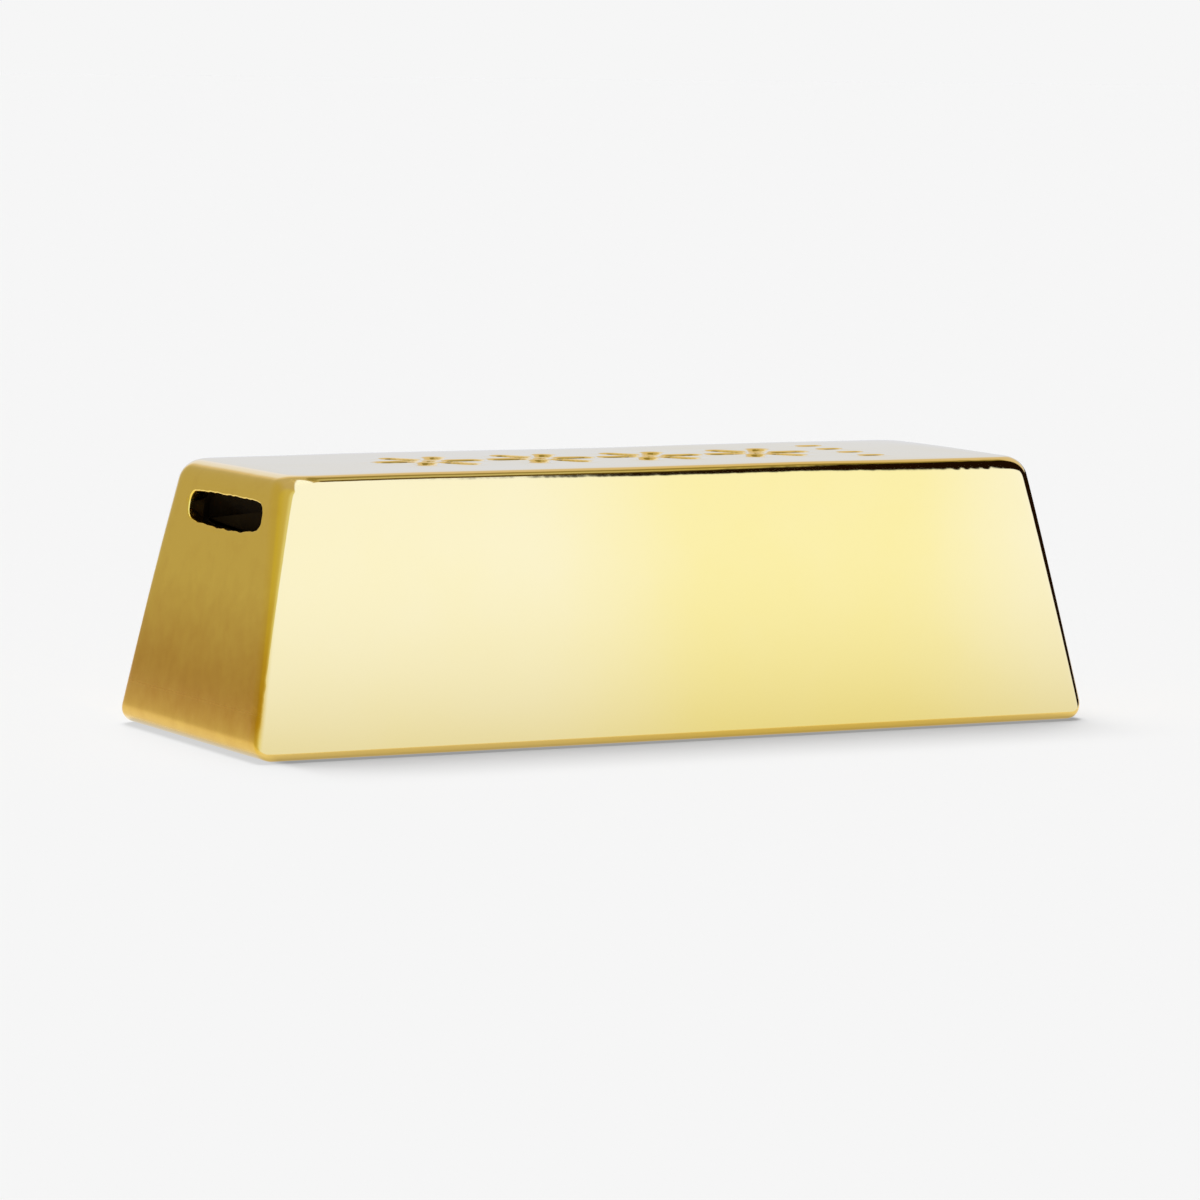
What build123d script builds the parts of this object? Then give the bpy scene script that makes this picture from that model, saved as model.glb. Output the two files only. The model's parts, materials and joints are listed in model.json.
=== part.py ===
from build123d import *
from math import atan2, cos, sin
import os

# A money box in the shape of a cast gold ingot: one hollow slip-cast ceramic body with a
# coin slot in one end and a round hole in the base, closed by a soft rubber stopper, and
# standing on four felt pads.  +Z is up, the long side lies along X, the slot is in the -X
# end, and the origin is on the table under the middle of the base.

# Body, in millimetres
BASE_LENGTH = 181.5  # between the end faces, carried down to the base plane
BASE_WIDTH = 69.65  # and between the long sides
TOP_LENGTH = 162.4  # and the same at the top plane
TOP_WIDTH = 55.35
BODY_HEIGHT = 52.0
BODY_BASE = 0.3  # how far the felt pads lift the body off the table
WALL = 4.5
BASE_CORNER = 3.6  # radius of the upright corners where they meet the base
TOP_CORNER = 7.5  # and where they meet the top
BASE_EDGE = 3.7  # rounding of the lower edges
TOP_EDGE = 4.3  # rounding of the upper edges
CAVITY_CORNER = 3.0
CAVITY_EDGE = 2.5

# Coin slot in the -X end, cut by hand and so a little nearer one side
SLOT_LENGTH = 35.0
SLOT_HEIGHT = 6.4
SLOT_CORNER = 2.4
SLOT_CENTRE_Y = -1.8
SLOT_CENTRE_Z = 44.0
SLOT_EDGE = 0.5

# Hole in the base, and the pocket that the stopper's flange sits in
HOLE_RADIUS = 19.0
POCKET_RADIUS = 23.0
POCKET_DEPTH = 2.6
GLAZE_EDGE = 0.6

# Stopper
FLANGE_RADIUS = 22.0
FLANGE_THICKNESS = 2.0
SQUEEZE_GAP = 0.05  # between the squeezed ribs and the hole
RIB_HEIGHT = 0.55
RIB_PITCH = 1.5
RIB_COUNT = 3
BARREL_HEIGHT = 9.0
LEAD_IN = 1.4
DISH_RADIUS = 14.5
DISH_DEPTH = 5.4
WEB_THICKNESS = 2.2
CUP_RADIUS = 16.0
GRIP_WIDTH = 3.0
GRIP_SETBACK = 0.6
FLANGE_EDGE = 0.7

# Felt pads, let into round recesses in the base
PAD_RADIUS = 6.0
PAD_THICKNESS = 1.3
RECESS_RADIUS = 6.5
PAD_SPACING_X = 148.0
PAD_SPACING_Y = 42.0

# Ornament pressed into the top: a row of rosettes and a column of short dashes
MARK_DEPTH = 1.0
MARK_DRAFT = 20.0
ROSETTE_CENTRES = (-39.0, -15.0, 9.0, 33.0)
PETAL_COUNT = 6
PETAL_RADIUS = 7.0  # from the middle of a rosette to the middle of a petal
PETAL_LENGTH = 8.5
PETAL_WIDTH = 4.0
EYE_RADIUS = 1.3
DASH_CENTRE = 52.0
DASH_LENGTH = 5.0
DASH_WIDTH = 2.4
DASH_PITCH = 8.4
DASH_COUNT = 4

TOUCH = 0.01  # two places closer than this are the same place

TOTAL_HEIGHT = BODY_BASE + BODY_HEIGHT
END_TAPER = atan2((BASE_LENGTH - TOP_LENGTH) / 2, BODY_HEIGHT)
SIDE_TAPER = atan2((BASE_WIDTH - TOP_WIDTH) / 2, BODY_HEIGHT)
POCKET_FLOOR = BODY_BASE + POCKET_DEPTH
LAND_TOP = POCKET_FLOOR + WALL


def span_at(base, top, taper, height, inset):
    """Distance between two opposite sloping faces at a height, each moved inwards by inset."""
    share = (height - BODY_BASE) / BODY_HEIGHT
    return base + (top - base) * share - 2 * inset / cos(taper)


def tapered_block(inset, corners, edges):
    """The ingot's block with every face moved inwards by inset and its edges rounded."""
    heights = (BODY_BASE + inset, TOTAL_HEIGHT - inset)
    with BuildPart() as block:
        for height, corner in zip(heights, corners):
            with BuildSketch(Plane.XY.offset(height)):
                RectangleRounded(
                    span_at(BASE_LENGTH, TOP_LENGTH, END_TAPER, height, inset),
                    span_at(BASE_WIDTH, TOP_WIDTH, SIDE_TAPER, height, inset),
                    corner,
                )
        loft(ruled=True)
        fillet(block.edges().group_by(Axis.Z)[0], radius=edges[0])
        fillet(block.edges().group_by(Axis.Z)[-1], radius=edges[1])
    return block.part


# Ceramic body
outer_block = tapered_block(0, (BASE_CORNER, TOP_CORNER), (BASE_EDGE, TOP_EDGE))
cavity_block = tapered_block(WALL, (CAVITY_CORNER,) * 2, (CAVITY_EDGE,) * 2)

slot_x = -span_at(BASE_LENGTH, TOP_LENGTH, END_TAPER, SLOT_CENTRE_Z, 0) / 2
end_plane = Plane(
    origin=(slot_x, SLOT_CENTRE_Y, SLOT_CENTRE_Z),
    x_dir=(0, -1, 0),
    z_dir=(-cos(END_TAPER), 0, sin(END_TAPER)),
)

with BuildPart() as ceramic_body:
    add(outer_block)
    add(cavity_block, mode=Mode.SUBTRACT)

    # The base wall steps up round the pocket, so that the casting keeps one thickness.
    with BuildSketch(Plane.XY.offset(BODY_BASE + WALL)):
        Circle(POCKET_RADIUS + WALL)
    extrude(amount=LAND_TOP - (BODY_BASE + WALL))
    with Locations(Location((0, 0, BODY_BASE), (180, 0, 0))):
        CounterBoreHole(
            radius=HOLE_RADIUS,
            counter_bore_radius=POCKET_RADIUS,
            counter_bore_depth=POCKET_DEPTH,
            depth=POCKET_DEPTH + 2 * WALL,
        )
    circles = ceramic_body.edges().filter_by(GeomType.CIRCLE)
    land_rims = circles.filter_by(lambda edge: abs(edge.radius - HOLE_RADIUS) < TOUCH)
    pocket_rims = circles.filter_by(lambda edge: abs(edge.radius - POCKET_RADIUS) < TOUCH)
    fillet(land_rims + pocket_rims.sort_by(Axis.Z)[:1], radius=GLAZE_EDGE)

    # Coin slot, punched square to the sloping end
    edges_before_slot = ceramic_body.edges()
    with BuildSketch(end_plane):
        RectangleRounded(SLOT_LENGTH, SLOT_HEIGHT, SLOT_CORNER)
    extrude(amount=-2 * WALL, mode=Mode.SUBTRACT)
    slot_edges = ceramic_body.edges() - edges_before_slot
    fillet(
        slot_edges.filter_by(lambda edge: abs(end_plane.to_local_coords(edge.center()).Z) < TOUCH),
        radius=SLOT_EDGE,
    )

    # Recesses that the felt pads are glued into
    with BuildSketch(Plane.XY.offset(BODY_BASE)):
        with GridLocations(PAD_SPACING_X, PAD_SPACING_Y, 2, 2):
            Circle(RECESS_RADIUS)
    extrude(amount=PAD_THICKNESS - BODY_BASE, mode=Mode.SUBTRACT)

    # Ornament pressed into the top
    with BuildSketch(Plane.XY.offset(TOTAL_HEIGHT)):
        with Locations(*((centre, 0) for centre in ROSETTE_CENTRES)):
            Circle(EYE_RADIUS)
            with PolarLocations(PETAL_RADIUS, PETAL_COUNT):
                SlotOverall(PETAL_LENGTH, PETAL_WIDTH)
        with Locations((DASH_CENTRE, 0)), GridLocations(0, DASH_PITCH, 1, DASH_COUNT):
            SlotOverall(DASH_LENGTH, DASH_WIDTH)
    extrude(amount=-MARK_DEPTH, taper=MARK_DRAFT, mode=Mode.SUBTRACT)

# Soft stopper: a flange, a ribbed barrel, a finger dish with a grip bar, and a cup above
rib_radius = HOLE_RADIUS - SQUEEZE_GAP
barrel_radius = rib_radius - RIB_HEIGHT
flange_base = POCKET_FLOOR - FLANGE_THICKNESS
barrel_top = POCKET_FLOOR + BARREL_HEIGHT
dish_roof = flange_base + DISH_DEPTH
first_rib = POCKET_FLOOR + GLAZE_EDGE + RIB_HEIGHT

with BuildPart() as base_stopper:
    with BuildSketch(Plane.XZ):
        with BuildLine():
            Polyline(
                (0, flange_base),
                (FLANGE_RADIUS, flange_base),
                (FLANGE_RADIUS, POCKET_FLOOR),
                (barrel_radius, POCKET_FLOOR),
                (barrel_radius, barrel_top - 2 * LEAD_IN),
                (barrel_radius - LEAD_IN, barrel_top),
                (0, barrel_top),
                close=True,
            )
        make_face()
        with Locations(*((barrel_radius, first_rib + i * RIB_PITCH) for i in range(RIB_COUNT))):
            Circle(RIB_HEIGHT)
    revolve(axis=Axis.Z)
    with BuildSketch(Plane.XY.offset(flange_base)):
        Circle(DISH_RADIUS)
    extrude(amount=DISH_DEPTH, mode=Mode.SUBTRACT)
    with BuildSketch(Plane.XY.offset(dish_roof + WEB_THICKNESS)):
        Circle(CUP_RADIUS)
    extrude(amount=BARREL_HEIGHT, mode=Mode.SUBTRACT)
    rims = base_stopper.edges().filter_by(GeomType.CIRCLE)
    fillet(rims.group_by(Axis.Z)[0], radius=FLANGE_EDGE)
    with BuildSketch(Plane.XY.offset(flange_base + GRIP_SETBACK)):
        Rectangle(2 * DISH_RADIUS + GRIP_WIDTH, GRIP_WIDTH)
    extrude(amount=DISH_DEPTH - GRIP_SETBACK + WEB_THICKNESS / 2)

# Felt pads
with BuildPart() as felt_pads:
    with BuildSketch():
        with GridLocations(PAD_SPACING_X, PAD_SPACING_Y, 2, 2):
            Circle(PAD_RADIUS)
    extrude(amount=PAD_THICKNESS)

os.makedirs("parts", exist_ok=True)
for name, built in (
    ("ceramic_body", ceramic_body),
    ("base_stopper", base_stopper),
    ("felt_pads", felt_pads),
):
    built.part.label = name
    export_step(built.part, f"parts/{name}.step")
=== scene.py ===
import json
import math

import bpy
import numpy as np
from mathutils import Matrix, Vector, geometry, noise

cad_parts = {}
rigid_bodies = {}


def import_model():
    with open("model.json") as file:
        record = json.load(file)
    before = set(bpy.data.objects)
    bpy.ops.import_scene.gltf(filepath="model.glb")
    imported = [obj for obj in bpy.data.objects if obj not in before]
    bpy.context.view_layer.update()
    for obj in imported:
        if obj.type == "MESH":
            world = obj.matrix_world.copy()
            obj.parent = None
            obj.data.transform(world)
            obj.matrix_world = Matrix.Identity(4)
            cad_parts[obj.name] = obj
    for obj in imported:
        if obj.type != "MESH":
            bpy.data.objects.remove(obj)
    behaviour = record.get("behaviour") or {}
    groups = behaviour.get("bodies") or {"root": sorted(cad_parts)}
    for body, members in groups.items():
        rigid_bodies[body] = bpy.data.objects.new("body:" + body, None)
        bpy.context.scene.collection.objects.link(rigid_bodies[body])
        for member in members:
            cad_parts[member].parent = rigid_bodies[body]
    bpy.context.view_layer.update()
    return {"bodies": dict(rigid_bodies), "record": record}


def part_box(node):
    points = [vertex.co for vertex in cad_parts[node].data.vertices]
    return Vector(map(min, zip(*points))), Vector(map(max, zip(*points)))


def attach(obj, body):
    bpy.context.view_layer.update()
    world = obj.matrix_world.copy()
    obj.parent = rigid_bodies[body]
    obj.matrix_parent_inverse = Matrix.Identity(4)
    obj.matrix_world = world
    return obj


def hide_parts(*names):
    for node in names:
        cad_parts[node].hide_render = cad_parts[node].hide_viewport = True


# The looks of an ingot-shaped ceramic money box with a gold lustre glaze.  Shapes are worked
# out in millimetres in the frame's own axes, and turned into metres when a mesh is made.

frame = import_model()

MM = 0.001

noise.seed_set(5)  # noise_vector would otherwise start from the clock


def box_mm(node):
    """Lowest and highest corner of a CAD node, in millimetres."""
    low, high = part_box(node)
    return np.array(low) / MM, np.array(high) / MM


# ------------------------------------------------------------ driving sizes, in millimetres

body_low, body_high = box_mm("ceramic_body")
plug_low, plug_high = box_mm("base_stopper")
pads_high = box_mm("felt_pads")[1]

BASE_Z = body_low[2]
TOP_Z = body_high[2]
HEIGHT = TOP_Z - BASE_Z

END_RUN = 9.55  # how far each end face leans in between base and top
SIDE_RUN = 7.15  # and each long side
CAD_LOWER_EDGE = 3.7  # rounding that the CAD body's lower edges were given
END_EDGES = (3.3, 4.3)  # lower and upper rounding of the end faces
SIDE_EDGES = (1.4, 4.3)  # and of the long sides
CORNERS = (4.2, 7.5)  # radius of the upright corners at the base and at the top
CORNER_CURVE = 2.0  # how much of their widening is left to the top
SHARP_CORNER = 0.5  # share of the base radius that the front left corner has
LEAST_CORNER = 0.35  # radius that no ring's corners fall below
WALL = 4.5

SLOT_LENGTH = 34.8
SLOT_HEIGHT = 6.4
SLOT_CORNER = 2.3
SLOT_LIP = 0.35  # rounding of the slot's rim

FLANGE_RADIUS = plug_high[0]
POCKET_RADIUS = FLANGE_RADIUS + 1.0
HOLE_RADIUS = FLANGE_RADIUS - 3.0
POCKET_FLOOR = BASE_Z + 2.6
LAND_TOP = POCKET_FLOOR + WALL  # the land is the thicker ring round the hole, inside the body
LAND_RADIUS = POCKET_RADIUS + 3.0
HOLE_ROUNDING = 0.6

PAD_RADIUS = 6.0
PAD_RECESS = 6.5
PAD_X = pads_high[0] - PAD_RADIUS
PAD_Y = pads_high[1] - PAD_RADIUS
PAD_CENTRES = [(x, y) for x in (-PAD_X, PAD_X) for y in (-PAD_Y, PAD_Y)]

ROSETTE_CENTRES = (-39.0, -15.0, 9.0, 33.0)
PETAL_COUNT = 6
PETAL_RADIUS = 7.0
PETAL_LENGTH = 8.5
PETAL_WIDTH = 4.0
EYE_RADIUS = 1.3
DASH_CENTRE = 52.0
DASH_LENGTH = 5.0
DASH_WIDTH = 2.4
DASH_PITCH = 8.4
DASH_COUNT = 4


# ------------------------------------------------------------ mesh building


class Skin:
    """Points, faces and the material index of each face, gathered into one mesh."""

    def __init__(self):
        self.points = []
        self.faces = []
        self.finishes = []

    def loop(self, points):
        """Adds points and returns their indices."""
        start = len(self.points)
        self.points.extend(np.array(point, float) for point in points)
        return list(range(start, len(self.points)))

    def face(self, corners, finish):
        self.faces.append(tuple(corners))
        self.finishes.append(finish)

    def band(self, first, second, finish):
        """Quads between two closed loops of equal length."""
        for a, b, c, d in zip(first, first[1:] + first[:1], second[1:] + second[:1], second):
            self.face((a, b, c, d), finish)

    def bands(self, loops, finish):
        for first, second in zip(loops, loops[1:]):
            self.band(first, second, finish)

    def cap(self, loop, tip, turned, finish):
        """Triangles between a closed loop and a point in its middle."""
        middle = self.loop([tip])[0]
        for a, b in zip(loop, loop[1:] + loop[:1]):
            self.face((middle, b, a) if turned else (middle, a, b), finish)

    def gap(self, a, b):
        return np.linalg.norm(self.points[a] - self.points[b])

    def zip_up(self, first, second, finish):
        """Triangles between two closed loops of any lengths that run the same way."""
        start = min(range(len(second)), key=lambda k: self.gap(first[0], second[k]))
        first = first + first[:1]
        second = second[start:] + second[: start + 1]
        i = j = 0
        while i < len(first) - 1 or j < len(second) - 1:
            if j == len(second) - 1:
                along_first = True
            elif i == len(first) - 1:
                along_first = False
            else:
                along_first = self.gap(first[i + 1], second[j]) < self.gap(first[i], second[j + 1])
            if along_first:
                self.face((first[i], first[i + 1], second[j]), finish)
                i += 1
            else:
                self.face((first[i], second[j + 1], second[j]), finish)
                j += 1

    def fill_flat(self, outer, holes, finish, upward=False):
        """Triangles between a level outline and round holes (middle, radius, loop) in it."""
        indices = outer + [index for _, _, loop in holes for index in loop]
        spots = [Vector(self.points[index][:2]) for index in indices]
        edges = []
        start = 0
        for loop in [outer] + [loop for _, _, loop in holes]:
            count = len(loop)
            edges += [(start + k, start + (k + 1) % count) for k in range(count)]
            start += count
        found = geometry.delaunay_2d_cdt(spots, edges, [], 0, 1e-7)
        places, triangles = found[0], found[2]
        for triangle in triangles:
            middle = sum((places[k] for k in triangle), Vector((0, 0))) / 3
            if any((middle - Vector(centre)).length < radius for centre, radius, _ in holes):
                continue
            corners = [indices[found[3][k][0]] for k in triangle]
            self.face(corners if upward else corners[::-1], finish)


def make_object(name, skin, materials):
    """One smooth-shaded mesh object from a skin given in millimetres."""
    mesh = bpy.data.meshes.new(name)
    mesh.from_pydata((np.array(skin.points) * MM).tolist(), [], skin.faces)
    for material in materials:
        mesh.materials.append(material)
    mesh.polygons.foreach_set("material_index", skin.finishes)
    mesh.polygons.foreach_set("use_smooth", [True] * len(mesh.polygons))
    mesh.update()
    made = bpy.data.objects.new(name, mesh)
    bpy.context.scene.collection.objects.link(made)
    return made


def spread(*stretches):
    """Stations from (start, end, step) stretches laid end to end."""
    stations = [stretches[0][0]]
    for start, end, step in stretches:
        count = max(1, round((end - start) / step))
        stations.extend(start + (end - start) * (i + 1) / count for i in range(count))
    return np.array(stations)


def smooth_step(low, high, value):
    """0 below low, 1 above high, and an even curve between."""
    share = np.clip((value - low) / (high - low), 0, 1)
    return share * share * (3 - 2 * share)


# ------------------------------------------------------------ the ingot's outline


def sharp_foot(reach, run):
    """Where a leaning wall would meet the base plane if the lower edge were not rounded."""
    lean = math.atan2(run, HEIGHT)
    return reach + CAD_LOWER_EDGE * ((1 + math.sin(lean)) / math.cos(lean) - 1)


def lean_profile(reach, run, edges, wall_shares, arc_steps, inset):
    """Half section of two facing walls: distances from the middle and heights."""
    lean = math.atan2(run, HEIGHT)
    foot = sharp_foot(reach, run)

    def arc(height, radius, start, end):
        middle = foot - (radius + inset + (height - BASE_Z) * math.sin(lean)) / math.cos(lean)
        turns = np.linspace(start, end, arc_steps + 1)
        return np.column_stack((middle + radius * np.cos(turns), height + radius * np.sin(turns)))

    lower = arc(BASE_Z + inset + edges[0], edges[0], -math.pi / 2, lean)
    upper = arc(TOP_Z - inset - edges[1], edges[1], lean, math.pi / 2)
    shares = wall_shares[1:-1, None]
    wall = lower[-1] * (1 - shares) + upper[0] * shares
    section = np.vstack((lower, wall, upper))
    sharp = foot - inset / math.cos(lean) - (section[:, 1] - BASE_Z) * run / HEIGHT
    return section[:, 0], section[:, 1], sharp - section[:, 0]


def ring_points(x_reach, x_height, y_reach, y_height, corner, sharp, x_shares, y_shares, steps):
    """One closed rounded rectangle, anticlockwise from above, starting on the front side.

    sharp is the radius of its last corner, front left, and no more than that of the others.
    """
    x_flat, y_flat = x_reach - corner, y_reach - corner
    points = []

    def quarter(start, sign_x, sign_y, radius):
        for i in range(1, steps):
            turn = start + math.pi / 2 * i / steps
            along_x, along_y = math.cos(turn), math.sin(turn)
            x = sign_x * (x_reach - radius) + radius * along_x
            y = sign_y * (y_reach - radius) + radius * along_y
            points.append((x, y, x_height * along_x**2 + y_height * along_y**2))

    points.extend((share * x_flat, -y_reach, y_height) for share in x_shares)
    quarter(-math.pi / 2, 1, -1, corner)
    points.extend((x_reach, share * y_flat, x_height) for share in y_shares)
    quarter(0, 1, 1, corner)
    points.extend((share * x_flat, y_reach, y_height) for share in x_shares[::-1])
    quarter(math.pi / 2, -1, 1, corner)
    points.extend((-x_reach, share * y_flat, x_height) for share in y_shares[::-1])
    quarter(math.pi, -1, -1, sharp)
    return points


class Shell:
    """A skin of stacked rings shaped as the ingot, with a place left open for the slot."""

    def __init__(self, skin, x_shares, y_shares, wall_shares, steps, edges, corners, inset):
        self.skin = skin
        self.x_shares, self.y_shares = x_shares, y_shares
        self.corner_steps, arc_steps = steps
        ends = lean_profile(body_high[0], END_RUN, edges[0], wall_shares, arc_steps, inset)
        sides = lean_profile(body_high[1], SIDE_RUN, edges[1], wall_shares, arc_steps, inset)
        self.rings = []
        for xr, xz, x_inset, yr, yz, y_inset in zip(*ends, *sides):
            share = (xz - BASE_Z) / HEIGHT
            widened = (corners[1] - corners[0]) * share**CORNER_CURVE
            corner = corners[0] + widened - (x_inset + y_inset) / 2
            corner = max(LEAST_CORNER, corner)
            sharp = max(LEAST_CORNER, corner * (SHARP_CORNER + (1 - SHARP_CORNER) * share))
            reaches = (xr, xz, yr, yz, corner, sharp)
            points = ring_points(*reaches, x_shares, y_shares, self.corner_steps)
            self.rings.append(skin.loop(points))
        self.top_flat = (xr - corner, yr - corner)
        self.left_start = 2 * len(x_shares) + len(y_shares) + 3 * (self.corner_steps - 1)

    def find_hole(self, middle, half_span, low, high):
        """First and last column and ring of the left wall's cells over a slot."""
        heights = [self.skin.points[ring[self.left_start]][2] for ring in self.rings]
        bottom = max(i for i, z in enumerate(heights) if z < low)
        top = min(i for i, z in enumerate(heights) if z > high)
        ring = self.rings[(bottom + top) // 2]
        left = range(self.left_start, self.left_start + len(self.y_shares))
        columns = [i for i in left if abs(self.skin.points[ring[i]][1] - middle) < half_span]
        return columns[0], columns[-1], bottom, top

    def walls(self, hole, finish, inward):
        """Quads between the rings, apart from the cells of the hole."""
        for row, (lower, upper) in enumerate(zip(self.rings, self.rings[1:])):
            for i in range(len(lower)):
                if hole[2] <= row < hole[3] and hole[0] <= i < hole[1]:
                    continue
                j = (i + 1) % len(lower)
                corners = (lower[i], lower[j], upper[j], upper[i])
                self.skin.face(corners[::-1] if inward else corners, finish)

    def rim(self, hole):
        """The loop round the hole, anticlockwise as seen from outside."""
        first, last, bottom, top = hole
        loop = [self.rings[bottom][i] for i in range(first, last)]
        loop += [self.rings[row][last] for row in range(bottom, top)]
        loop += [self.rings[top][i] for i in range(last, first, -1)]
        loop += [self.rings[row][first] for row in range(top, bottom, -1)]
        return loop

    def roof(self, finish, inward):
        """Closes the top with a grid inside the last ring, and returns the grid."""
        skin, ring = self.skin, self.rings[-1]
        x_flat, y_flat = self.top_flat
        height = skin.points[ring[0]][2]
        grid = []
        for y in self.y_shares * y_flat:
            grid.append(skin.loop((x, y, height) for x in self.x_shares * x_flat))

        def add(corners):
            skin.face(corners[::-1] if inward else corners, finish)

        for near, far in zip(grid, grid[1:]):
            for a, b, c, d in zip(near, near[1:], far[1:], far):
                add((a, b, c, d))
        right = [row[-1] for row in grid]
        left = [row[0] for row in grid]
        start = 0
        for side in (grid[0], right, grid[-1][::-1], left[::-1]):
            outer = ring[start : start + len(side)]
            for a, b, c, d in zip(outer, outer[1:], side[1:], side):
                add((a, b, c, d))
            start += len(side) - 1
            for i in range(start, start + self.corner_steps):
                add((side[-1], ring[i], ring[(i + 1) % len(ring)]))
            start += self.corner_steps
        return grid


# ------------------------------------------------------------ the pressed ornament

MARK_SINK = 0.62  # the glaze fills most of a mark's depth
MARK_WALL = 1.5  # how wide the softened walls of a mark are
MARK_LIP = 0.04  # height of the faint lip round a mark, its distance from it and its width
MARK_LIP_REACH = 1.1
MARK_LIP_WIDTH = 0.65
POOL = 0.16  # unevenness of the glaze that pooled in the marks
POOL_LENGTH = 2.2
POOL_EDGE = (-0.8, 0.2)  # distances from a mark's outline between which it ends


def stadium_distance(x, y, half_x, half_y):
    """Distance outside a bar with round ends; negative inside."""
    radius = min(half_x, half_y)
    dx = np.maximum(np.abs(x) - (half_x - radius), 0)
    dy = np.maximum(np.abs(y) - (half_y - radius), 0)
    return np.hypot(dx, dy) - radius


def mark_distance(x, y):
    """Distance outside the nearest pressed mark; negative inside one."""
    marks = []
    for centre in ROSETTE_CENTRES:
        away = np.hypot(x - centre, y)
        turn = np.arctan2(y, x - centre)
        step = 2 * math.pi / PETAL_COUNT
        off_petal = turn - step * np.round(turn / step)
        along, across = away * np.cos(off_petal), away * np.sin(off_petal)
        petal = stadium_distance(along - PETAL_RADIUS, across, PETAL_LENGTH / 2, PETAL_WIDTH / 2)
        marks += [petal, away - EYE_RADIUS]
    for i in range(DASH_COUNT):
        centre = (i - (DASH_COUNT - 1) / 2) * DASH_PITCH
        dash = stadium_distance(x - DASH_CENTRE, y - centre, DASH_LENGTH / 2, DASH_WIDTH / 2)
        marks.append(dash)
    return np.min(marks, axis=0)


def press_depth(x, y):
    """How far the glaze sinks, with softened walls and a faint lip round each mark."""
    away = mark_distance(x, y)
    sink = MARK_SINK * (1 - smooth_step(-0.7 * MARK_WALL, 0.3 * MARK_WALL, away))
    lip = MARK_LIP * np.exp(-(((away - MARK_LIP_REACH) / MARK_LIP_WIDTH) ** 2))
    pooled = POOL * noise.noise(Vector((x, y, 5.0)) / POOL_LENGTH)
    return sink - lip + pooled * (1 - smooth_step(*POOL_EDGE, away))


# ------------------------------------------------------------ unevenness of a hand-cast body

WAVES = ((46.0, 0.20), (17.0, 0.035), (9.0, 0.014))  # (length, height) of the slow unevenness
RIPPLE = (3.4, 0.008)  # and of the ripples that the glaze leaves along the edges
BEAD_LENGTH = 1.5
BEAD_SPOTS = (  # in a few places the glaze stands in small beads: middle, reach, height
    ((67.0, -29.0, 50.0), 9.0, 0.03),
    ((-88.5, -33.0, 8.0), 12.0, 0.12),
    ((-60.0, -34.0, 2.0), 7.0, 0.08),
)
BASE_FLATNESS = 6.0  # height over which the upright unevenness fades out towards the base
HOLE_FLATNESS = (8.0, 12.0)  # how far out, and up, the waves stay away from the stopper's hole
EDGE_BAND = (1.5, 5.0)  # distances from an edge between which its ripples fade out


def waves(points, layers):
    """A smooth shift of every point, added up from layers of (length, height)."""
    shift = np.zeros_like(points)
    for number, (length, height) in enumerate(layers):
        offset = Vector((7.3 * number, 1.9, 4.1))
        for i, point in enumerate(points):
            shift[i] += height * np.array(noise.noise_vector(Vector(point) / length + offset))
    return shift


def edge_nearness(points):
    """1 along the outer edges and upright corners, 0 a few millimetres away from them."""
    x, y, z = np.abs(points).T
    rise = (z - BASE_Z) / HEIGHT
    to_end = sharp_foot(body_high[0], END_RUN) - END_RUN * rise - x
    to_side = sharp_foot(body_high[1], SIDE_RUN) - SIDE_RUN * rise - y
    second = np.sort((to_end, to_side, TOP_Z - z), axis=0)[1]
    return 1 - smooth_step(*EDGE_BAND, second)


def uneven(points):
    """The cast and glazed shape: slow waves everywhere but round the stopper, ripples on edges."""
    level = smooth_step(BASE_Z, BASE_Z + BASE_FLATNESS, points[:, 2])
    out = np.hypot(points[:, 0], points[:, 1])
    by_hole = 1 - smooth_step(LAND_RADIUS, LAND_RADIUS + HOLE_FLATNESS[0], out)
    by_hole *= 1 - smooth_step(LAND_TOP, LAND_TOP + HOLE_FLATNESS[1], points[:, 2])
    slow = waves(points, WAVES) * (1 - by_hole[:, None])
    near = edge_nearness(points)
    fine = waves(points, (RIPPLE,)) * near[:, None]
    for middle, span, height in BEAD_SPOTS:
        away = np.linalg.norm(points - np.array(middle), axis=1)
        share = near * (1 - smooth_step(0.4 * span, span, away))
        at = np.flatnonzero(share)
        fine[at] += waves(points[at], ((BEAD_LENGTH, height),)) * share[at, None]
    shift = slow + fine
    shift[:, 2] *= level
    return points + shift


# ------------------------------------------------------------ the ceramic body

GOLD, RAW = 0, 1
RECESS_ROUNDING = 0.3

END_LEAN = math.atan2(END_RUN, HEIGHT)
SLOT_CENTRE = np.array(
    next(mount["pos_m"] for mount in frame["record"]["mounts"] if mount["name"] == "coin_slot")
) / MM
SLOT_ACROSS = np.array((0.0, -1.0, 0.0))
SLOT_OUT = np.array((-math.cos(END_LEAN), 0.0, math.sin(END_LEAN)))
SLOT_UP = np.cross(SLOT_OUT, SLOT_ACROSS)
SLOT_FIELD = SLOT_LIP + 0.5  # where the flat wall ends and the slot's rim begins
SLOT_RAISE = 0.05  # bead of glaze along the rim
TUNNEL_GLAZED = 14  # how many of the slot's loops, counted inwards, the glaze reaches
SLOT_TAPER = (0.10, 0.34)  # how much the hand-cut slot closes towards its ends, above and below
SLOT_TAPER_CURVE = 2.2
RAGGED = ((2.1, 3.7, 0.22), (0.9, 8.2, 0.09))  # (length, seed, height) of the outline's unevenness


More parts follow.
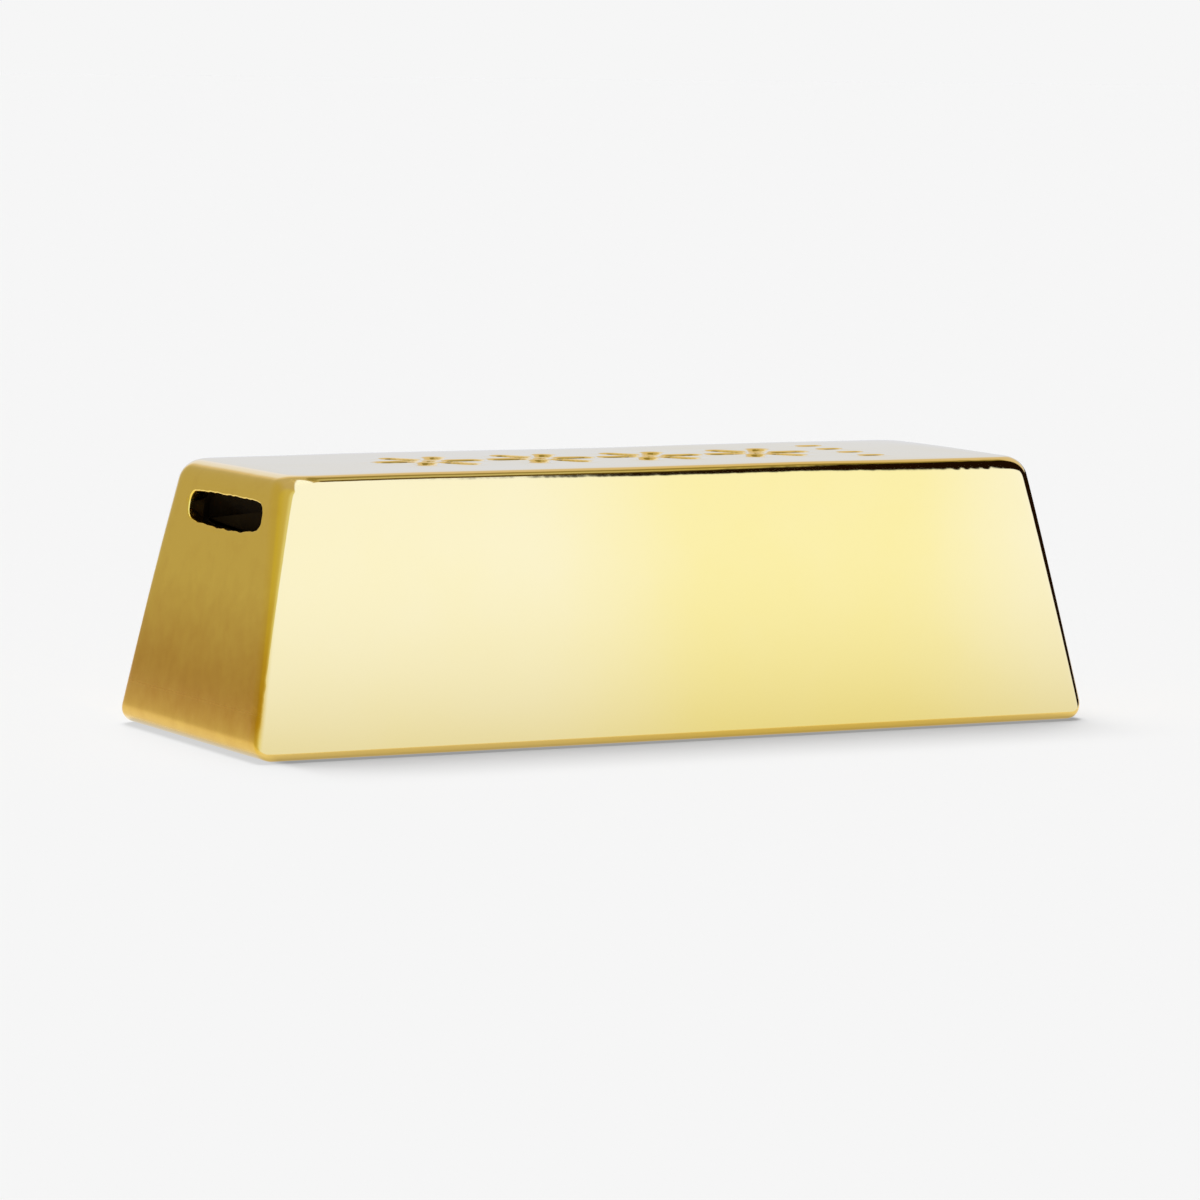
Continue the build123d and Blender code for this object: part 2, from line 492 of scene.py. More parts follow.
def slot_outline(u, v):
    """Nearest point of the slot's outline to (u, v), and the outward direction there."""
    long, short = SLOT_LENGTH / 2 - SLOT_CORNER, SLOT_HEIGHT / 2 - SLOT_CORNER
    core = np.array((np.clip(u, -long, long), np.clip(v, -short, short)))
    away = np.array((u, v)) - core
    away = away / np.linalg.norm(away)
    spot = core + SLOT_CORNER * away
    taper = SLOT_TAPER[0] if spot[1] > 0 else SLOT_TAPER[1]
    spot[1] *= 1 - taper * abs(2 * spot[0] / SLOT_LENGTH) ** SLOT_TAPER_CURVE
    return spot, away


def ragged(point):
    """Unevenness of the hand-cut outline, in millimetres."""
    return sum(
        height * noise.noise(Vector((point[0] / length, point[1] / length, seed)))
        for length, seed, height in RAGGED
    )


def slot_loops(skin, rim):
    """Loops from the hole left in the end wall, over the slot's rim and through the wall."""
    spots = []
    for index in rim:
        away = skin.points[index] - SLOT_CENTRE
        spots.append(np.array((away @ SLOT_ACROSS, away @ SLOT_UP)))
    outline = [slot_outline(*spot) for spot in spots]

    def place(flat, depth):
        return SLOT_CENTRE + SLOT_ACROSS * flat[0] + SLOT_UP * flat[1] - SLOT_OUT * depth

    def loop(spread_out, depth, roughness=1.0):
        points = []
        for on_line, away in outline:
            flat = on_line + away * (spread_out + roughness * ragged(on_line))
            points.append(place(flat, depth))
        return skin.loop(points)

    loops = [rim]
    for share in (0.25, 0.5, 0.75):
        points = []
        for spot, (on_line, away) in zip(spots, outline):
            goal = on_line + away * (SLOT_FIELD + ragged(on_line))
            points.append(place(spot * (1 - share) + goal * share, 0))
        loops.append(skin.loop(points))
    for turn in np.linspace(0, math.pi / 2, 7):
        lip = SLOT_LIP * (1 - math.sin(turn))
        loops.append(loop(lip, SLOT_LIP * (1 - math.cos(turn)) - SLOT_RAISE * math.cos(turn)))
    for depth in (1.3, 2.2, 3.2, WALL - 0.4):
        loops.append(loop(0.0, depth, 1.0 - 0.5 * depth / WALL))
    loops.append(loop(0.35, WALL, 0.5))
    return loops


def circle_loop(skin, centre, radius, height, count=240):
    """A circle round an upright axis, anticlockwise as seen from below."""
    turns = -2 * math.pi * np.arange(count) / count
    x, y = centre[0] + radius * np.cos(turns), centre[1] + radius * np.sin(turns)
    return skin.loop(np.column_stack((x, y, np.full(count, height))))


def rolled_loops(skin, centre, radius, height, rounding=HOLE_ROUNDING, count=240):
    """Quarter-round loops where a level face turns up into a hole."""
    loops = []
    for turn in np.linspace(0, math.pi / 2, 5):
        widening = rounding * (1 - math.sin(turn))
        rise = rounding * (1 - math.cos(turn))
        loops.append(circle_loop(skin, centre, radius + widening, height + rise, count))
    return loops


TOP_X, TOP_Y = 73.7, 20.0  # half length and half width of the top between its roundings
# The mesh is finest over the ornament, by the slot and near the foot.
X_STATIONS = spread((-TOP_X, -66, 1.9), (-66, -50, 1.4), (-50, TOP_X, 0.53))
Y_STATIONS = spread((-TOP_Y, 16, 0.51), (16, TOP_Y, 1.0))
FOOT_SHARES = ((0, 0.3, 0.0125), (0.3, 0.42, 0.024), (0.42, 0.72, 0.05))
WALL_SHARES = spread(*FOOT_SHARES, (0.72, 0.99, 0.0105), (0.99, 1, 0.01))
CAVITY_EDGES = (2.5, 2.5)
CAVITY_CORNERS = (3.0, 3.0)


def build_body():
    """The hollow casting: outside, slot, top ornament, stopper hole and cavity."""
    skin = Skin()
    outer = Shell(
        skin,
        X_STATIONS / TOP_X,
        Y_STATIONS / TOP_Y,
        WALL_SHARES,
        (12, 14),
        (END_EDGES, SIDE_EDGES),
        CORNERS,
        0.0,
    )
    slot_y, slot_z = SLOT_CENTRE[1:]
    margin = SLOT_HEIGHT / 2 + SLOT_FIELD
    hole = outer.find_hole(
        slot_y, SLOT_LENGTH / 2 + SLOT_FIELD + 0.8, slot_z - margin - 0.4, slot_z + margin
    )
    outer.walls(hole, GOLD, inward=False)
    tunnel = slot_loops(skin, outer.rim(hole))
    skin.bands(tunnel[:TUNNEL_GLAZED], GOLD)
    skin.bands(tunnel[TUNNEL_GLAZED - 1 :], RAW)

    top = outer.roof(GOLD, inward=False)
    for row in top:
        for index in row:
            point = skin.points[index]
            point[2] -= press_depth(point[0], point[1])

    hole_loops = rolled_loops(skin, (0, 0), POCKET_RADIUS, BASE_Z)
    for shrink, drop in ((0, 0.3), (0.1, 0.08), (0.35, 0), (1.6, 0)):
        hole_loops.append(circle_loop(skin, (0, 0), POCKET_RADIUS - shrink, POCKET_FLOOR - drop))
    hole_loops += rolled_loops(skin, (0, 0), HOLE_RADIUS, POCKET_FLOOR)
    hole_loops.append(circle_loop(skin, (0, 0), HOLE_RADIUS, LAND_TOP - HOLE_ROUNDING))
    skin.bands(hole_loops, GOLD)

    holes = [((0, 0), POCKET_RADIUS + HOLE_ROUNDING, hole_loops[0])]
    for centre in PAD_CENTRES:
        recess = rolled_loops(skin, centre, PAD_RECESS - RECESS_ROUNDING, BASE_Z, RECESS_ROUNDING, 64)
        for radius in (PAD_RECESS - RECESS_ROUNDING, 4.0, 1.5):
            recess.append(circle_loop(skin, centre, radius, pads_high[2], 64))
        skin.bands(recess, GOLD)
        skin.face(recess[-1], GOLD)
        holes.append((centre, PAD_RECESS, recess[0]))
    skin.fill_flat(outer.rings[0], holes, GOLD)

    cavity = Shell(
        skin,
        spread((-1, 1, 0.04)),
        spread((-1, 1, 0.05)),
        spread((0, 0.74, 0.074), (0.74, 1, 0.04)),
        (4, 4),
        (CAVITY_EDGES, CAVITY_EDGES),
        CAVITY_CORNERS,
        WALL,
    )
    inner_z = slot_z - WALL * math.sin(END_LEAN)
    margin = SLOT_HEIGHT / 2 + 0.3
    hole = cavity.find_hole(slot_y, SLOT_LENGTH / 2 + 2.4, inner_z - margin, inner_z + margin)
    cavity.walls(hole, RAW, inward=True)
    cavity.roof(RAW, inward=True)
    skin.zip_up(tunnel[-1], cavity.rim(hole), RAW)

    land = [
        hole_loops[-1],
        circle_loop(skin, (0, 0), HOLE_RADIUS + HOLE_ROUNDING, LAND_TOP),
        circle_loop(skin, (0, 0), LAND_RADIUS - HOLE_ROUNDING, LAND_TOP),
        circle_loop(skin, (0, 0), LAND_RADIUS, LAND_TOP - HOLE_ROUNDING),
        circle_loop(skin, (0, 0), LAND_RADIUS, BASE_Z + WALL),
    ]
    skin.bands(land, RAW)
    skin.fill_flat(cavity.rings[0], [((0, 0), LAND_RADIUS, land[-1])], RAW, upward=True)

    skin.points = uneven(np.array(skin.points))
    return skin


# ------------------------------------------------------------ the stopper


def bend(centre, radius, start, end, steps=6):
    """Points of an arc in a section, between two angles in degrees."""
    turns = np.radians(np.linspace(start, end, steps + 1))
    return [(centre[0] + radius * math.cos(t), centre[1] + radius * math.sin(t)) for t in turns]


def revolve(skin, section, count, finish):
    """Turns a section of (radius, height) points, with both ends on the axis, into a closed skin."""
    turns = 2 * math.pi * np.arange(count) / count
    loops = []
    for radius, height in section[1:-1]:
        x, y = radius * np.cos(turns), radius * np.sin(turns)
        loops.append(skin.loop(np.column_stack((x, y, np.full(count, height)))))
    skin.bands(loops, finish)
    skin.cap(loops[0], (0, 0, section[0][1]), True, finish)
    skin.cap(loops[-1], (0, 0, section[-1][1]), False, finish)


RIB_COUNT = 3
RIB_PITCH = 1.5
RIB_HEIGHT = 0.55
RIB_GAP = 0.05
BARREL_RADIUS = HOLE_RADIUS - RIB_GAP - RIB_HEIGHT
LEAD_IN = 1.4
CUP_RADIUS = 16.0
DISH_RADIUS = 14.5
DISH_DEPTH = 5.4
WEB = 2.2
GROOVE_RADIUS = 18.2
GROOVE_DEPTH = 0.25
GRIP_WIDTH = 3.0
GRIP_SETBACK = 0.6


def stopper_section():
    """From the middle of the dish, round the flange and the ribs, to the middle of the cup."""
    base, top = plug_low[2], plug_high[2]
    seat = POCKET_FLOOR - 0.02
    roof = base + DISH_DEPTH
    section = [(0, roof)]
    section += [(r, roof) for r in (3.0, 7.0, 10.5)]
    section += bend((DISH_RADIUS - 1.3, roof - 1.3), 1.3, 90, 0)
    section += bend((DISH_RADIUS + 0.7, base + 0.7), 0.7, 180, 270)
    section += bend((GROOVE_RADIUS, base), GROOVE_DEPTH, 180, 0)
    section += bend((FLANGE_RADIUS - 0.7, base + 0.7), 0.7, 270, 360)
    section += bend((FLANGE_RADIUS - 0.4, seat - 0.4), 0.4, 0, 90)
    section += bend((BARREL_RADIUS + 0.25, seat + 0.25), 0.25, 270, 180, 3)
    for number in range(RIB_COUNT):
        height = seat + HOLE_ROUNDING + RIB_HEIGHT + number * RIB_PITCH
        section += bend((BARREL_RADIUS, height), RIB_HEIGHT, -75, 75, 10)
    section += bend((BARREL_RADIUS - 1.0, top - 2 * LEAD_IN), 1.0, 0, 27, 3)
    section += bend((BARREL_RADIUS - LEAD_IN - 0.4, top - 0.4), 0.4, 27, 90, 4)
    section += bend((CUP_RADIUS + 0.25, top - 0.25), 0.25, 90, 180, 3)
    section += bend((CUP_RADIUS - 1.0, roof + WEB + 1.0), 1.0, 0, -90)
    section += [(r, roof + WEB) for r in (11.0, 6.0, 2.0)]
    return section + [(0, roof + WEB)]


def grip_bar():
    """The bar across the finger dish, waisted in the middle and rounded below."""
    skin = Skin()
    base = plug_low[2] + GRIP_SETBACK
    top = plug_low[2] + DISH_DEPTH + WEB / 2
    loops = []
    reach = DISH_RADIUS + 1.2
    for x in np.linspace(reach, -reach, 41):
        half = GRIP_WIDTH / 2 * (0.86 + 0.24 * (abs(x) / reach) ** 3)
        lift = 0.35 * (1 - (x / reach) ** 2)
        round_off = half * 0.75
        section = bend((half - round_off, base + lift + round_off), round_off, 0, -90, 5)
        section += bend((round_off - half, base + lift + round_off), round_off, -90, -180, 5)
        section += [(-half, top), (half, top)]
        loops.append(skin.loop((x, y, z) for y, z in section))
    skin.bands(loops, 0)
    skin.face(loops[0][::-1], 0)
    skin.face(loops[-1], 0)
    return skin


def build_stopper(material):
    skin = Skin()
    revolve(skin, stopper_section(), 192, 0)
    stopper = make_object("moulded_stopper", skin, (material,))
    bar = make_object("moulded_stopper_bar", grip_bar(), (material,))
    join = stopper.modifiers.new("bar", "BOOLEAN")
    join.operation = "UNION"
    join.solver = "EXACT"
    join.object = bar
    graph = bpy.context.evaluated_depsgraph_get()
    mesh = bpy.data.meshes.new_from_object(stopper.evaluated_get(graph))
    stopper.modifiers.clear()
    stopper.data = mesh
    bpy.data.objects.remove(bar)
    mesh.set_sharp_from_angle(angle=math.radians(38))
    return stopper


# ------------------------------------------------------------ the felt pads

FUZZ = 0.09  # unevenness of the pressed felt


def felt_disc(skin, centre):
    """One pressed disc with a soft rim; its lowest point touches the table."""
    low, high = 0.0, pads_high[2] - 0.01
    soft = 0.35
    section = [(r, low) for r in (0.4, 0.9, 1.5, 2.4, 3.3, 4.0, 4.7)]
    section += bend((PAD_RADIUS - soft, low + soft), soft, -90, 0, 5)
    section += bend((PAD_RADIUS - soft, high - soft), soft, 0, 90, 5)
    section += [(r, high) for r in (4.0, 2.0)]

    def fuzzy(radius, height, turn):
        outward = Vector((math.cos(turn), math.sin(turn), 0))
        middle = Vector((centre[0], centre[1], height))
        spot = middle + outward * radius
        rough = noise.noise(spot / 0.9) + 0.5 * noise.noise(spot / 0.4)
        push = FUZZ * rough * smooth_step(0, 1, (radius - 3) / 2)
        bump = FUZZ * abs(rough) if height < soft else 0.0
        return middle + outward * (radius + push) + Vector((0, 0, bump))

    count = 96
    turns = 2 * math.pi * np.arange(count) / count
    loops = []
    for radius, height in section:
        loops.append(skin.loop(fuzzy(radius, height, turn) for turn in turns))
    skin.bands(loops, 0)
    skin.cap(loops[0], fuzzy(0, low, 0), True, 0)
    skin.cap(loops[-1], fuzzy(0, high, 0), False, 0)


def build_pads():
    skin = Skin()
    for centre in PAD_CENTRES:
        felt_disc(skin, centre)
    return skin


# ------------------------------------------------------------ materials


class Net:
    """Short way to build a node tree: each call adds one node and returns an output of it."""

    def __init__(self, tree):
        self.tree = tree
        tree.nodes.clear()

    def __call__(self, kind, inputs, out=0, **settings):
        node = self.tree.nodes.new("ShaderNode" + kind)
        for name, value in settings.items():
            setattr(node, name, value)
        for key, value in inputs.items():
            if isinstance(value, bpy.types.NodeSocket):
                self.tree.links.new(value, node.inputs[key])
            else:
                node.inputs[key].default_value = value
        return node.outputs[out] if len(node.outputs) else node

    def math(self, operation, a, b=0.0):
        return self("Math", {0: a, 1: b}, operation=operation)

    def dot(self, a, b):
        return self("VectorMath", {0: a, 1: b}, "Value", operation="DOT_PRODUCT")

    def ramp(self, value, low, high, start=0.0, end=1.0):
        """value from low to high becomes start to end, with an even curve."""
        inputs = {"Value": value, 1: low, 2: high, 3: start, 4: end}
        return self("MapRange", inputs, interpolation_type="SMOOTHSTEP")

    def noise(self, place, scale, detail=2.0, roughness=0.5):
        inputs = {"Vector": place, "Scale": scale, "Detail": detail, "Roughness": roughness}
        return self("TexNoise", inputs)

    def mix(self, share, a, b):
        return self("Mix", {0: share, 6: a, 7: b}, 2, data_type="RGBA")

    def place(self):
        """The point's own place, in metres."""
        return self("TexCoord", {}, "Object")

    def bump(self, height, strength, distance):
        return self("Bump", {"Height": height, "Strength": strength, "Distance": distance})

    def surface(self, **inputs):
        """A principled surface, its inputs named with underscores for spaces."""
        named = {name.replace("_", " "): value for name, value in inputs.items()}
        self("OutputMaterial", {"Surface": self("BsdfPrincipled", named)})


def new_material(name):
    material = bpy.data.materials.new(name)
    material.use_nodes = True
    return material, Net(material.node_tree)


def linear(red, green, blue):
    return (red, green, blue, 1.0)


PALE_GOLD = linear(0.945, 0.71, 0.277)
DEEP_GOLD = linear(0.945, 0.68, 0.17)
# painted shade: the gold turns darker and yellower towards the base
FOOT_PAINTED_SHADE = linear(0.82, 0.76, 0.56)  # how the gold deepens towards the base
FOOT_REACH = 0.040
# painted shade: the end faces get a darker, deeper gold, and a darker one still low down
END_PAINTED_SHADE_GOLD = linear(0.89, 0.635, 0.11)
END_FOOT_PAINTED_SHADE_GOLD = linear(0.58, 0.27, 0.0)
END_PLANE = sharp_foot(body_high[0], END_RUN) * MM


def gold_glaze():
    """Gold lustre: a mirror on the long sides and the top, satin on the end faces. Its colour holds
    painted shade on the end faces and towards the base, and a painted reflection: a yellower band a
    little right of the middle.
    """
    material, net = new_material("gold_glaze")
    place = net.place()
    x = net("SeparateXYZ", {0: place}, "X")
    z = x.node.outputs["Z"]
    clouds = net.noise(place, 34.0, 4.0, 0.6)
    # painted reflection: a band a little right of the middle takes the deeper, yellower gold; the
    # clouds are random tone
    middle = net.ramp(net.math("ABSOLUTE", net.math("SUBTRACT", x, 0.027)), 0.018, 0.061, 1.0, 0.0)
    depth = net.math("ADD", net.math("MULTIPLY", clouds, 0.4), net.math("MULTIPLY", middle, 0.75))
    # painted shade: darker, yellower gold towards the base
    rise = net("Math", {0: z, 1: -1 / FOOT_REACH, 2: 1.0}, operation="MULTIPLY_ADD", use_clamp=True)
    foot = net.math("MULTIPLY", rise, rise)
    colour = net.mix(depth, PALE_GOLD, DEEP_GOLD)
    painted_foot_shade = net.mix(foot, linear(1.0, 1.0, 1.0), FOOT_PAINTED_SHADE)
    colour = net("Mix", {0: 1.0, 6: colour, 7: painted_foot_shade}, 2, data_type="RGBA", blend_type="MULTIPLY")
    lean = net.math("MULTIPLY", z, END_RUN / HEIGHT)
    reach = net.math("ADD", net.math("ABSOLUTE", x), lean)
    end = net.ramp(reach, END_PLANE - 1.5 * MM, END_PLANE - 0.35 * MM)
    # painted shade: the end faces take the darker gold, darkest a little above the foot, with random
    # blotches
    low = net.math("MULTIPLY", net.ramp(z, 0.008, 0.036, 0.8, 0.0), net.ramp(z, 0.002, 0.008, 0.5, 1.0))
    blotches = net.math("MULTIPLY", net.math("SUBTRACT", net.noise(place, 210.0, 3.0, 0.6), 0.5), 0.45)
    colour = net.mix(end, colour, net.mix(net.math("ADD", low, blotches), END_PAINTED_SHADE_GOLD, END_FOOT_PAINTED_SHADE_GOLD))
    grain = net.noise(place, 1700.0, 2.0)
    clear = net.math("ADD", 0.045, net.math("MULTIPLY", clouds, 0.02))
    satin = net.ramp(z, 0.003, 0.015, 0.32, 0.11)
    roughness = net.math("ADD", clear, net.math("MULTIPLY", end, satin))
    peel = net.noise(place, 420.0, 1.0)
    height = net.math("ADD", peel, net.math("MULTIPLY", grain, net.math("MULTIPLY", end, 0.8)))
    normal = net.bump(height, 0.03, 0.0004)
    net.surface(Base_Color=colour, Metallic=1.0, Roughness=roughness, Normal=normal)
    return material


def raw_clay_painted_shade():
    """The dark brown inside of the casting, nearly black: painted shade of the closed hollow."""
    material, net = new_material("raw_clay_painted_shade")
    place = net.place()
    tone = net.noise(place, 60.0, 4.0)
    # painted shade: the clay is nearly black, standing in for the dark inside the hollow
    colour = net.mix(tone, linear(0.010, 0.006, 0.002), linear(0.026, 0.016, 0.006))
    normal = net.bump(net.noise(place, 900.0, 3.0), 0.3, 0.0002)
    net.surface(Base_Color=colour, Roughness=0.9, Normal=normal, Specular_IOR_Level=0.05)
    return material


def stopper_rubber():
    """Soft black moulded rubber with a faint grey bloom."""
    material, net = new_material("stopper_rubber")
    place = net.place()
    bloom = net.ramp(net.noise(place, 95.0, 5.0, 0.62), 0.35, 0.8)
    colour = net.mix(bloom, linear(0.028, 0.027, 0.026), linear(0.062, 0.06, 0.057))
    roughness = net.math("ADD", 0.5, net.math("MULTIPLY", bloom, 0.16))
    grain = net.noise(place, 3200.0, 2.0)
    normal = net.bump(grain, 0.35, 0.00008)
    net.surface(Base_Color=colour, Roughness=roughness, Normal=normal, Specular_IOR_Level=0.4)
    return material


def pad_felt():
    """Dark grey pressed felt: fibres lying every way, and a soft sheen."""
    material, net = new_material("pad_felt")
    place = net.place()
    fibres = None
    for stretch in ((4200.0, 700.0, 2500.0), (700.0, 4200.0, 2500.0), (2300.0, 2300.0, 4200.0)):
        scaled = net("VectorMath", {0: place, 1: stretch}, operation="MULTIPLY")
        layer = net.noise(scaled, 1.0, 3.0, 0.6)
        fibres = layer if fibres is None else net.math("MAXIMUM", fibres, layer)
    tufts = net.noise(place, 260.0, 3.0)
    tone = net.ramp(net.math("ADD", fibres, net.math("MULTIPLY", tufts, 0.4)), 0.55, 1.0)
    colour = net.mix(tone, linear(0.075, 0.07, 0.066), linear(0.24, 0.225, 0.21))
    normal = net.bump(fibres, 0.9, 0.0002)
    net.surface(
        Base_Color=colour, Roughness=0.95, Normal=normal, Sheen_Weight=0.35, Sheen_Roughness=0.5
    )
    return material


# ------------------------------------------------------------ studio

FLOOR_LEVEL = 0.9216  # linear brightness of the plain floor and backdrop


def towards(azimuth, elevation):
    """Unit vector.  Azimuth 0 is -Y, 90 is +X and 180 is +Y."""
    a, e = math.radians(azimuth), math.radians(elevation)
    return Vector((math.sin(a) * math.cos(e), -math.cos(a) * math.cos(e), math.sin(e)))


def panel(net, look, under, softness, colour, *corners):
    """A soft-edged panel in the surroundings, its corners given as azimuth and elevation."""
    points = [towards(*corner) for corner in corners]
    middle = sum(points, Vector())
    blur = math.sin(math.radians(softness))
    share = 1.0
    for start, end in zip(points, points[1:] + points[:1]):
        edge = start.cross(end).normalized()
        if edge.dot(middle) < 0:
            edge.negate()
        share = net.math("MULTIPLY", share, net.ramp(net.dot(look, edge), -blur, blur))
    return net.mix(share, under, colour)


# What the glaze mirrors.  Each panel: softness in degrees, colour, corners.
WALL_PANELS = (
    (9, (0.60, 0.56, 0.24), (-110, -10), (-50, -10), (-50, 50), (-110, 50)),
    (2, (0.31, 0.27, 0.11), (112, 30), (156, 30), (156, 70), (112, 70)),
    (3, (0.60, 0.60, 0.45), (108, 52), (134, 52), (128, 66), (108, 66)),
    (3, (0.72, 0.64, 0.50), (112, -12), (184, -12), (178, 38), (112, 38)),
    (4, (0.86, 0.90, 1.08), (155, -12), (178, -12), (172, 30), (155, 30)),
    (3, (0.74, 0.79, 0.91), (112, -12), (176, -12), (176, 8), (112, 8)),
)
SOFT_BOX = (1.03, 1.27, 2.30)
SHADE = (0.012, 0.005, 0.001)
LAMP_PANELS = (
    (7, (0.75, 0.80, 0.60), (-71, -12), (0, -12), (0, 52), (-71, 52)),
    (1.5, SOFT_BOX, (-60, -12), (98, -12), (98, 66), (-60, 66)),
    (2.0, SOFT_BOX, (-60, 45), (-76, 60), (-125, 70), (174, 55), (150, 63), (100, 77), (50, 68)),
    (1.0, (0.13, 0.10, 0.03), (96, 59), (96, 67), (118, 66), (118, 58)),
    (1.2, SHADE, (50, 46), (97, 19), (119, 20), (128, 51.5), (92, 63.8), (71, 61.5)),
    (1.2, SHADE, (93, -12), (119, -12), (119, 51.5), (95, 51.5)),
    (1.2, SHADE, (97, -12), (145, -12), (145, 2), (97, 11)),
)
LOW_WALL = linear(0.53, 0.48, 0.30)  # the dim warm room, near the floor and higher up
HIGH_WALL = linear(0.534, 0.489, 0.353)
BLEED = linear(0.03, 0.04, 0.10)  # what the glaze throws on to the floor

LIGHT_GAIN = 8.44  # brightness of the lamp overhead, which lights the floor to FLOOR_LEVEL
AMBIENT = 0.06  # and of everything above the horizon besides


def overhead_light(net, look):
    """Brightness of the soft box overhead, a band that leans to the back."""
    xyz = net("SeparateXYZ", {0: look}, "X")
    parts = xyz.node.outputs
    turn = net.math("ARCTAN2", parts["Z"], parts["Y"])

    def over(low, high, start, end):
        return net.ramp(turn, math.radians(low), math.radians(high), start, end)

    along = net.math("MULTIPLY", over(50, 57, 0, 1), over(84, 102, 1, 0))
    across = net.ramp(net.math("ABSOLUTE", parts["X"]), 0.10, 0.45, 1.0, 0.0)
    level = net.math("MULTIPLY", net.math("MULTIPLY", along, across), LIGHT_GAIN)
    above = net.ramp(parts["Z"], 0.0, 0.05, 0.0, AMBIENT)
    return net.math("ADD", level, above)


def studio_world(heading):
    """The lamps, which stand in the same places round the camera whichever way it looks.

    heading is the direction of the main camera about the upright axis, in radians.
    """
    world = bpy.data.worlds.new("studio")
    world.use_nodes = True
    net = Net(world.node_tree)
    settings = {"vector_type": "VECTOR", "convert_from": "CAMERA", "convert_to": "WORLD"}
    ahead = net("VectorTransform", {0: (0.0, 0.0, 1.0)}, **settings)
    parts = net("SeparateXYZ", {0: ahead}, "X").node.outputs
    turn = net.math("SUBTRACT", heading, net.math("ARCTAN2", parts["Y"], parts["X"]))
    look = net("TexCoord", {}, "Generated")
    look = net("VectorRotate", {"Vector": look, "Angle": turn}, rotation_type="Z_AXIS")
    height = net("SeparateXYZ", {0: look}, "Z")

    seen = net.mix(net.ramp(height, 0.015, 0.085), LOW_WALL, HIGH_WALL)
    for softness, colour, *corners in WALL_PANELS + LAMP_PANELS:
        seen = panel(net, look, seen, softness, linear(*colour), *corners)
    ray = net("LightPath", {}, "Is Camera Ray").node.outputs
    first = net.math("LESS_THAN", ray["Diffuse Depth"], 0.5)
    seen = net.mix(first, BLEED, seen)
    lit = net.mix(ray["Is Glossy Ray"], overhead_light(net, look), seen)
    lit = net.mix(ray["Is Camera Ray"], lit, linear(FLOOR_LEVEL, FLOOR_LEVEL, FLOOR_LEVEL))
    background = net("Background", {"Color": lit, "Strength": 1.0})
    net("OutputWorld", {"Surface": background})
    bpy.context.scene.world = world


# Painted light: the floor glows, which lightens its shadows. The share of the floor's brightness that
# is its own glow, left of the object and elsewhere, and the places along X between which the one turns
# into the other.
FLOOR_GLOW = (0.70, 0.33)
GLOW_ENDS = (-0.0875, -0.083)
# painted light: the glaze mirrors the floor brighter than it is and glowing more
MIRRORED_LEVEL = 1.05  # the floor's brightness, and least glow, as the glaze mirrors it
MIRRORED_GLOW = 0.55
FLOOR_REACH = 40.0
TABLE_REACH = (0.38, 0.62)  # distances between which the mirrored table top ends


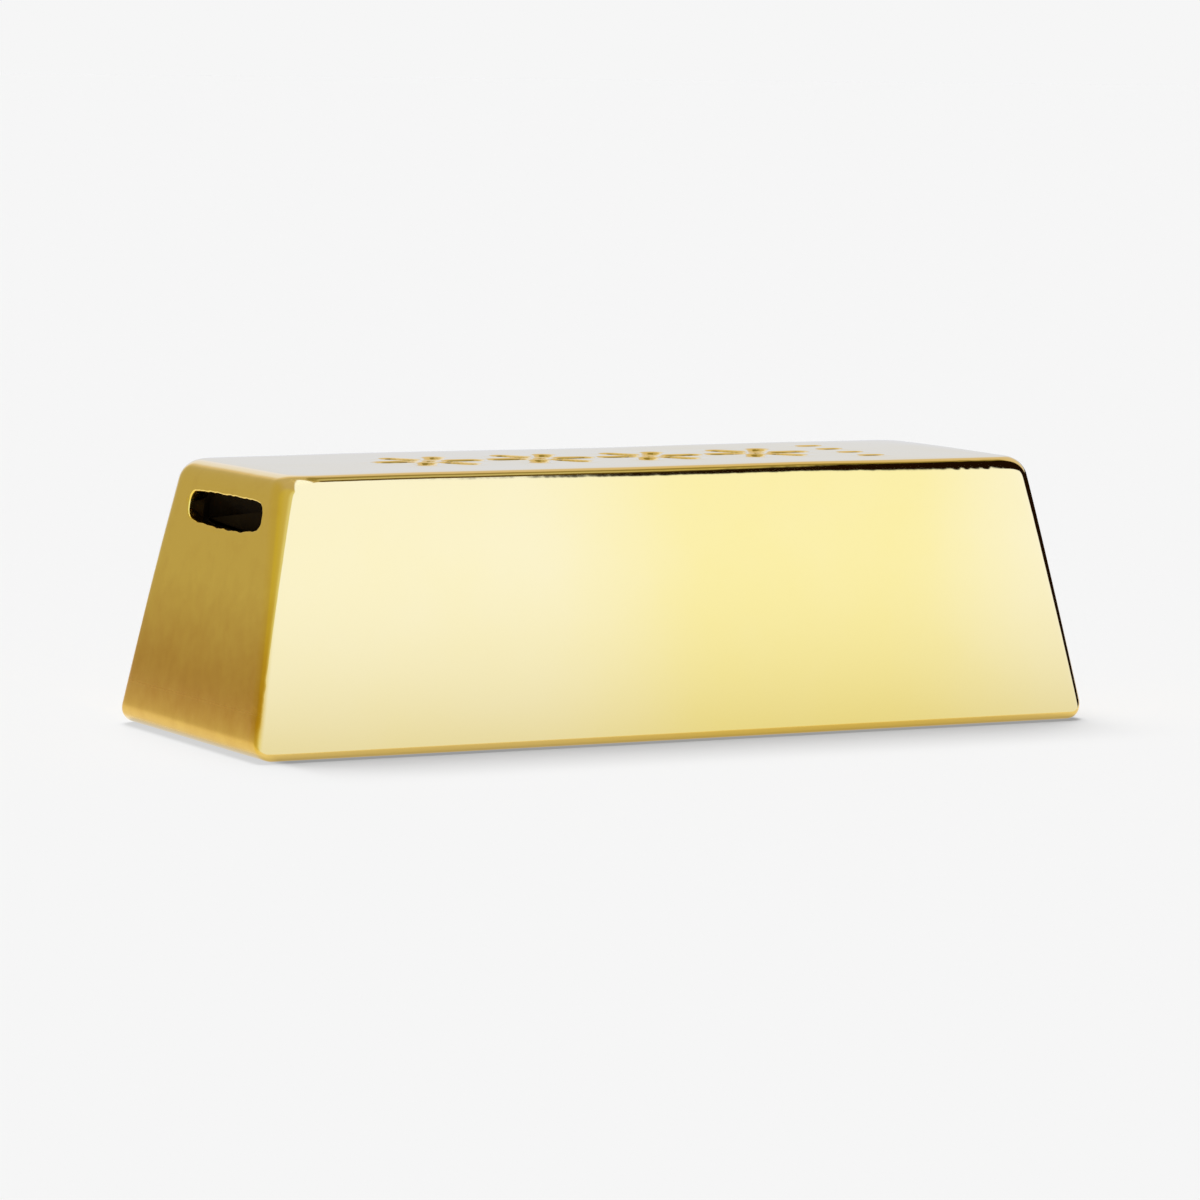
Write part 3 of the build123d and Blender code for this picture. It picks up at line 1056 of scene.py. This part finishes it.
def studio_floor():
    """A plain pale floor, seen from above only; the glaze mirrors just its nearer part. Part of its
    brightness is its own glow, painted light that lightens its shadows.
    """
    material, net = new_material("studio_floor")
    ray = net("LightPath", {}, "Is Camera Ray").node.outputs
    place = net("NewGeometry", {}, "Position")
    x = net("SeparateXYZ", {0: place}, "X")
    level = net("Mix", {0: ray["Is Glossy Ray"], 2: FLOOR_LEVEL, 3: MIRRORED_LEVEL}, data_type="FLOAT")
    # painted light: the floor glows, more left of the object and in the glaze's mirror, which lightens
    # its shadows
    glow = net.ramp(x, *GLOW_ENDS, *FLOOR_GLOW)
    glow = net.math("MAXIMUM", glow, net.math("MULTIPLY", ray["Is Glossy Ray"], MIRRORED_GLOW))
    painted = net("BsdfDiffuse", {"Color": level})
    shining = net("Emission", {"Color": level})
    lit = net("MixShader", {0: glow, 1: painted, 2: shining})
    below = net("NewGeometry", {}, "Backfacing")
    away = net("VectorMath", {0: place}, "Value", operation="LENGTH")
    unseen = net.math("MULTIPLY", below, ray["Is Camera Ray"])
    later = net.math("GREATER_THAN", ray["Diffuse Depth"], 0.5)
    beyond = net.math("MAXIMUM", net.ramp(away, *TABLE_REACH), later)
    gone = net.math("MAXIMUM", unseen, net.math("MULTIPLY", beyond, ray["Is Glossy Ray"]))
    shader = net("MixShader", {0: gone, 1: lit, 2: net("BsdfTransparent", {})})
    net("OutputMaterial", {"Surface": shader})
    mesh = bpy.data.meshes.new("studio_floor")
    corners = [(x * FLOOR_REACH, y * FLOOR_REACH, 0) for x, y in ((-1, -1), (1, -1), (1, 1), (-1, 1))]
    mesh.from_pydata(corners, [], [(0, 1, 2, 3)])
    mesh.materials.append(material)
    floor = bpy.data.objects.new("studio_floor", mesh)
    bpy.context.scene.collection.objects.link(floor)
    # The floor goes down with the stopper, so that a pulled stopper is seen above it.
    floor.parent = frame["bodies"]["stopper"]


CAMERA_AZIMUTH = -27.378  # where the camera stands, in degrees
CAMERA_ELEVATION = 7.040
CAMERA_DISTANCE = 1050.0 * MM
CAMERA_AIM = Vector((-0.09, 3.01, 23.75)) * MM
CAMERA_ROLL = 0.6327
CAMERA_LENS = 159.5  # focal length in millimetres, on a sensor 36 mm wide


def main_camera():
    """Places the main camera, and returns its heading about the upright axis."""
    data = bpy.data.cameras.new("camera")
    data.sensor_width = 36.0
    data.lens = CAMERA_LENS
    data.clip_start = 0.01
    data.clip_end = 200.0
    camera = bpy.data.objects.new("camera", data)
    bpy.context.scene.collection.objects.link(camera)
    centre = Vector((0, 0, BASE_Z * MM))
    camera.location = centre + CAMERA_DISTANCE * towards(CAMERA_AZIMUTH, CAMERA_ELEVATION)
    aim = (CAMERA_AIM - camera.location).to_track_quat("-Z", "Y").to_matrix()
    roll = Matrix.Rotation(math.radians(CAMERA_ROLL), 3, "Z")
    camera.rotation_euler = (aim @ roll).to_euler()
    bpy.context.scene.camera = camera
    ahead = CAMERA_AIM - camera.location
    return math.atan2(ahead.y, ahead.x)


# ------------------------------------------------------------ assembly

body = make_object("glazed_body", build_body(), (gold_glaze(), raw_clay_painted_shade()))
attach(body, "bank")
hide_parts("ceramic_body")

stopper = build_stopper(stopper_rubber())
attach(stopper, "stopper")
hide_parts("base_stopper")

pads = make_object("pressed_felt_pads", build_pads(), (pad_felt(),))
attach(pads, "bank")
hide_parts("felt_pads")

studio_world(main_camera())
studio_floor()
bpy.context.scene.view_settings.view_transform = "Standard"
